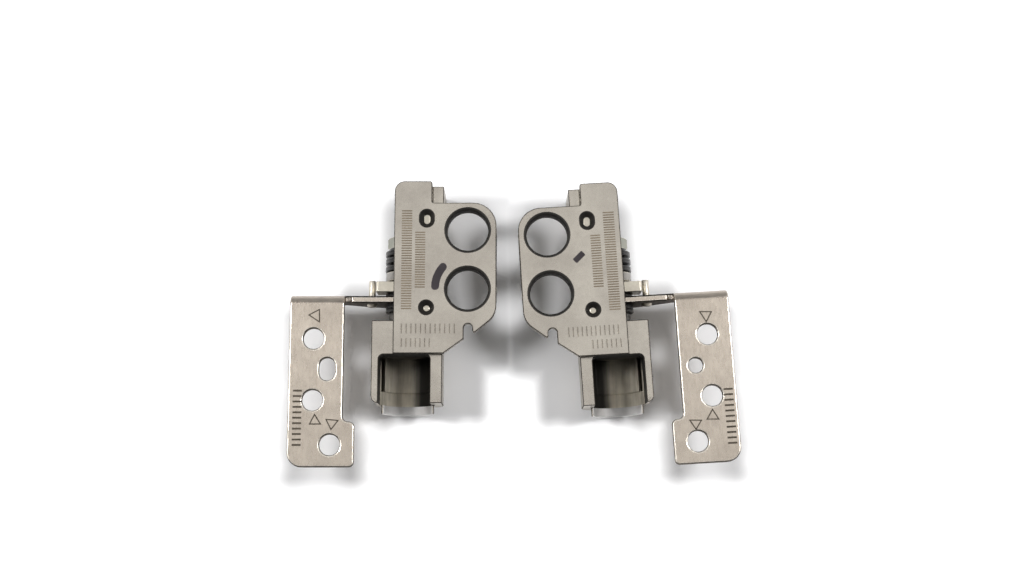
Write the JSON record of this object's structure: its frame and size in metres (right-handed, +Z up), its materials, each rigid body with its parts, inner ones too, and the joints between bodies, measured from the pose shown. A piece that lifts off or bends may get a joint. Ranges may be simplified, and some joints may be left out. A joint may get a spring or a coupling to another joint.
{
  "type": "pair of laptop hinges",
  "caption": "Mirrored left and right friction hinges for a laptop lid, lying open flat: cast base with plate and cable trough, spring stack, stop pin and bent sheet bracket.",
  "frame": {"origin": "bottom centre of the pair's box, on the table", "axes": "+X across the pair from the left hinge to the right one, +Y along the left hinge's pivot from its block to its nut, +Z up"},
  "size_m": [0.0638, 0.041, 0.0095],
  "materials": {
    "cast_steel": "satin, nickel plated casting",
    "sheet_steel": "satin, warm plated sheet",
    "shaft_steel": "oiled, ground",
    "plated_washer": "satin plated",
    "black_washer": "black oxide, greased",
    "spring_steel": "black phosphate, oiled",
    "nut_steel": "dull plated",
    "pin_steel": "bright turned"
  },
  "bodies": {
    "base_pair": {"left_base_casting": "cast_steel", "left_shaft": "shaft_steel", "left_friction_washer_1": "black_washer", "left_friction_washer_2": "black_washer", "left_friction_washer_3": "black_washer", "left_stop_plate": "plated_washer", "left_spacer_washer": "black_washer", "left_seat_washer": "plated_washer", "left_nut_washer": "black_washer", "left_lock_nut": "nut_steel", "left_disc_spring_1": "spring_steel", "left_disc_spring_2": "spring_steel", "left_disc_spring_3": "spring_steel", "left_disc_spring_4": "spring_steel", "left_disc_spring_5": "spring_steel", "left_disc_spring_6": "spring_steel", "right_base_casting": "cast_steel", "right_shaft": "shaft_steel", "right_friction_washer_1": "black_washer", "right_friction_washer_2": "black_washer", "right_friction_washer_3": "black_washer", "right_stop_plate": "plated_washer", "right_spacer_washer": "black_washer", "right_seat_washer": "plated_washer", "right_nut_washer": "black_washer", "right_lock_nut": "nut_steel", "right_disc_spring_1": "spring_steel", "right_disc_spring_2": "spring_steel", "right_disc_spring_3": "spring_steel", "right_disc_spring_4": "spring_steel", "right_disc_spring_5": "spring_steel", "right_disc_spring_6": "spring_steel"},
    "left_display": {"left_display_bracket": "sheet_steel", "left_stop_pin": "pin_steel"},
    "right_display": {"right_display_bracket": "sheet_steel", "right_stop_pin": "pin_steel"}
  },
  "joints": [
    {"name": "left_lid_hinge", "type": "hinge", "parent": "base_pair", "child": "left_display", "pos_m": [-0.01528, 0.0036, 0.00475], "axis": [0, -1, 0], "range_deg": [-8, 174]},
    {"name": "right_lid_hinge", "type": "hinge", "parent": "base_pair", "child": "right_display", "pos_m": [0.01398, 0.00344, 0.00475], "axis": [-0.0602, 0.9982, 0], "range_deg": [-8, 180]}
  ]
}
